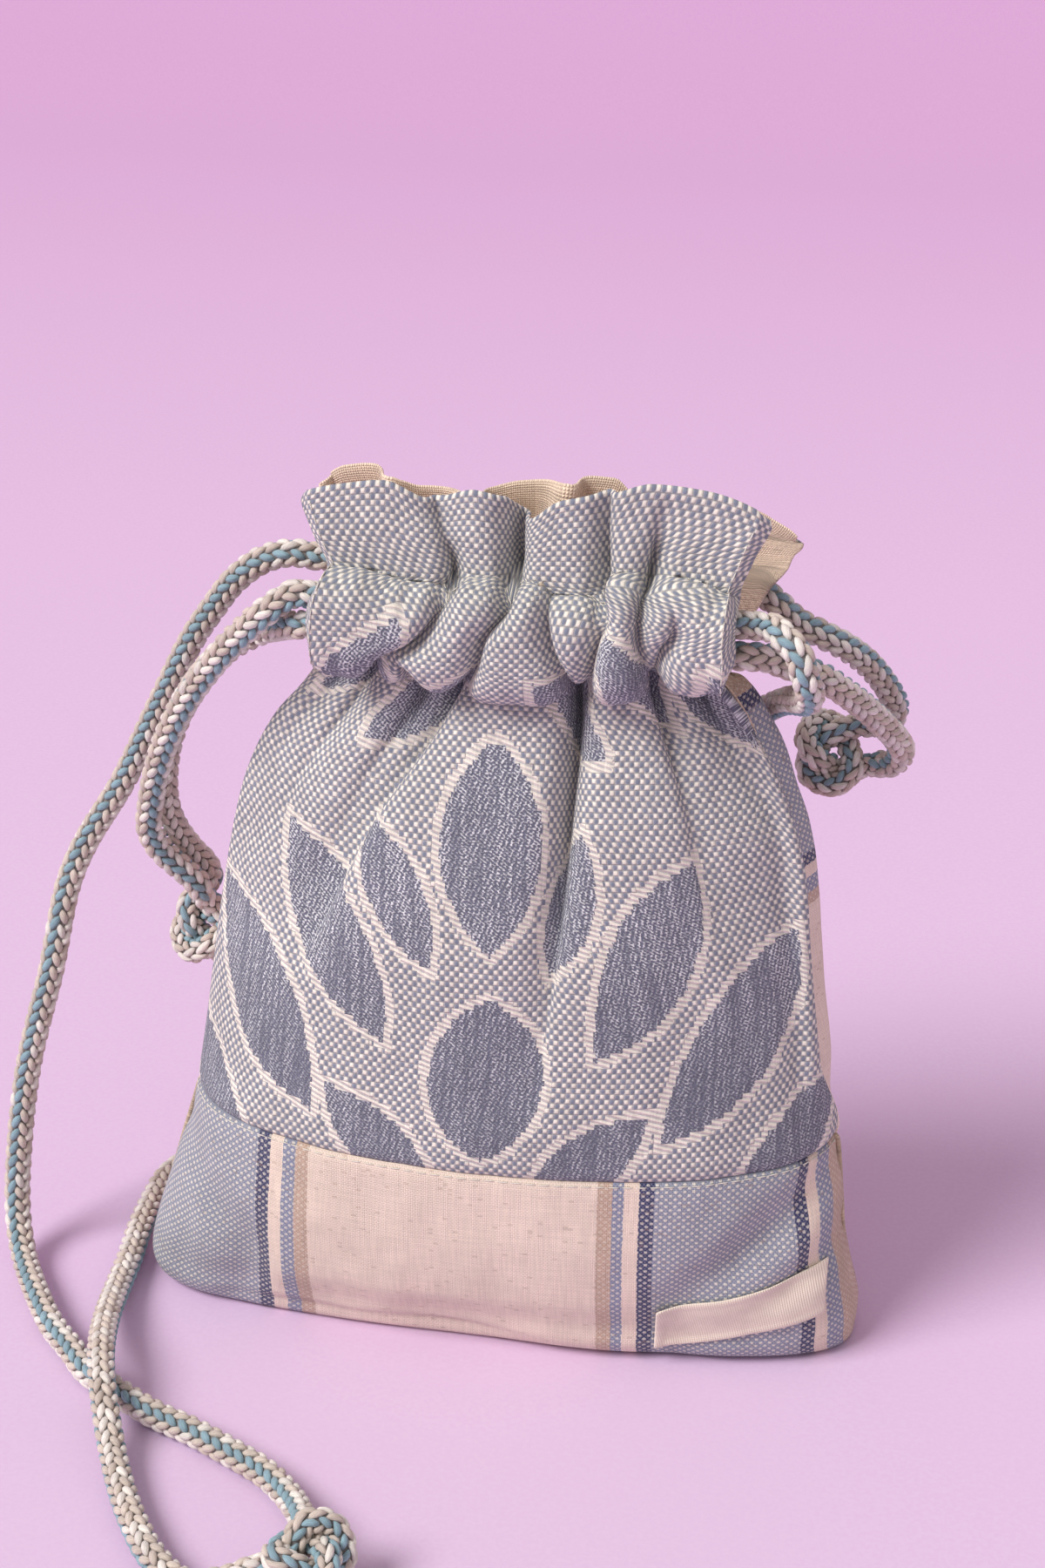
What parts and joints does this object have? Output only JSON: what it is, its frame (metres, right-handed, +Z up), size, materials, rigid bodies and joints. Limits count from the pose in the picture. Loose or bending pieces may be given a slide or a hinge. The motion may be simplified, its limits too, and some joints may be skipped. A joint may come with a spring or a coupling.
{
  "type": "drawstring bag",
  "caption": "Small standing patchwork drawstring bag with a gathered, ruffled neck, a lining, a blank side label and a braided cord that forms two knotted pull tabs and a strap.",
  "frame": {"origin": "middle of the flat underside, on the bottom seam", "axes": "+Z up to the ruffle, -Y the figured front, +X the side with the blank label"},
  "size_m": [0.204, 0.1711, 0.196],
  "materials": {
    "figured_jacquard": "woven slate blue and cream basket dots with raised cream outlines",
    "striped_cloth": "woven cotton with warp stripes in cream, navy, tan and chambray",
    "banded_cloth": "woven cotton with blue-grey, navy and cream bands",
    "tan_linen": "plain woven tan linen",
    "lining_linen": "plain woven cream cotton",
    "label_tape": "blank cream twill tape",
    "braided_cord": "round braid in taupe, white and teal"
  },
  "bodies": {
    "bag": {"front_upper_panel": "figured_jacquard", "front_lower_panel": "striped_cloth", "back_upper_panel": "banded_cloth", "back_lower_panel": "tan_linen", "front_lining": "lining_linen", "back_lining": "lining_linen", "side_label": "label_tape", "strap_left_stretch": "braided_cord", "strap_right_stretch": "braided_cord", "strap_knot": "braided_cord"},
    "right_tab": {"back_run": "braided_cord", "front_lower_run": "braided_cord", "right_tab_front": "braided_cord", "right_tab_back": "braided_cord", "right_tab_knot": "braided_cord"},
    "left_tab": {"front_upper_run": "braided_cord", "left_tab_front": "braided_cord", "left_tab_back": "braided_cord", "left_tab_knot": "braided_cord"}
  },
  "joints": [
    {"name": "right_tab_draw", "type": "slide", "parent": "bag", "child": "right_tab", "axis": [1, 0, 0], "range_m": [0, 0.022]},
    {"name": "left_tab_draw", "type": "slide", "parent": "bag", "child": "left_tab", "axis": [-1, 0, 0], "range_m": [0, 0.01]}
  ]
}
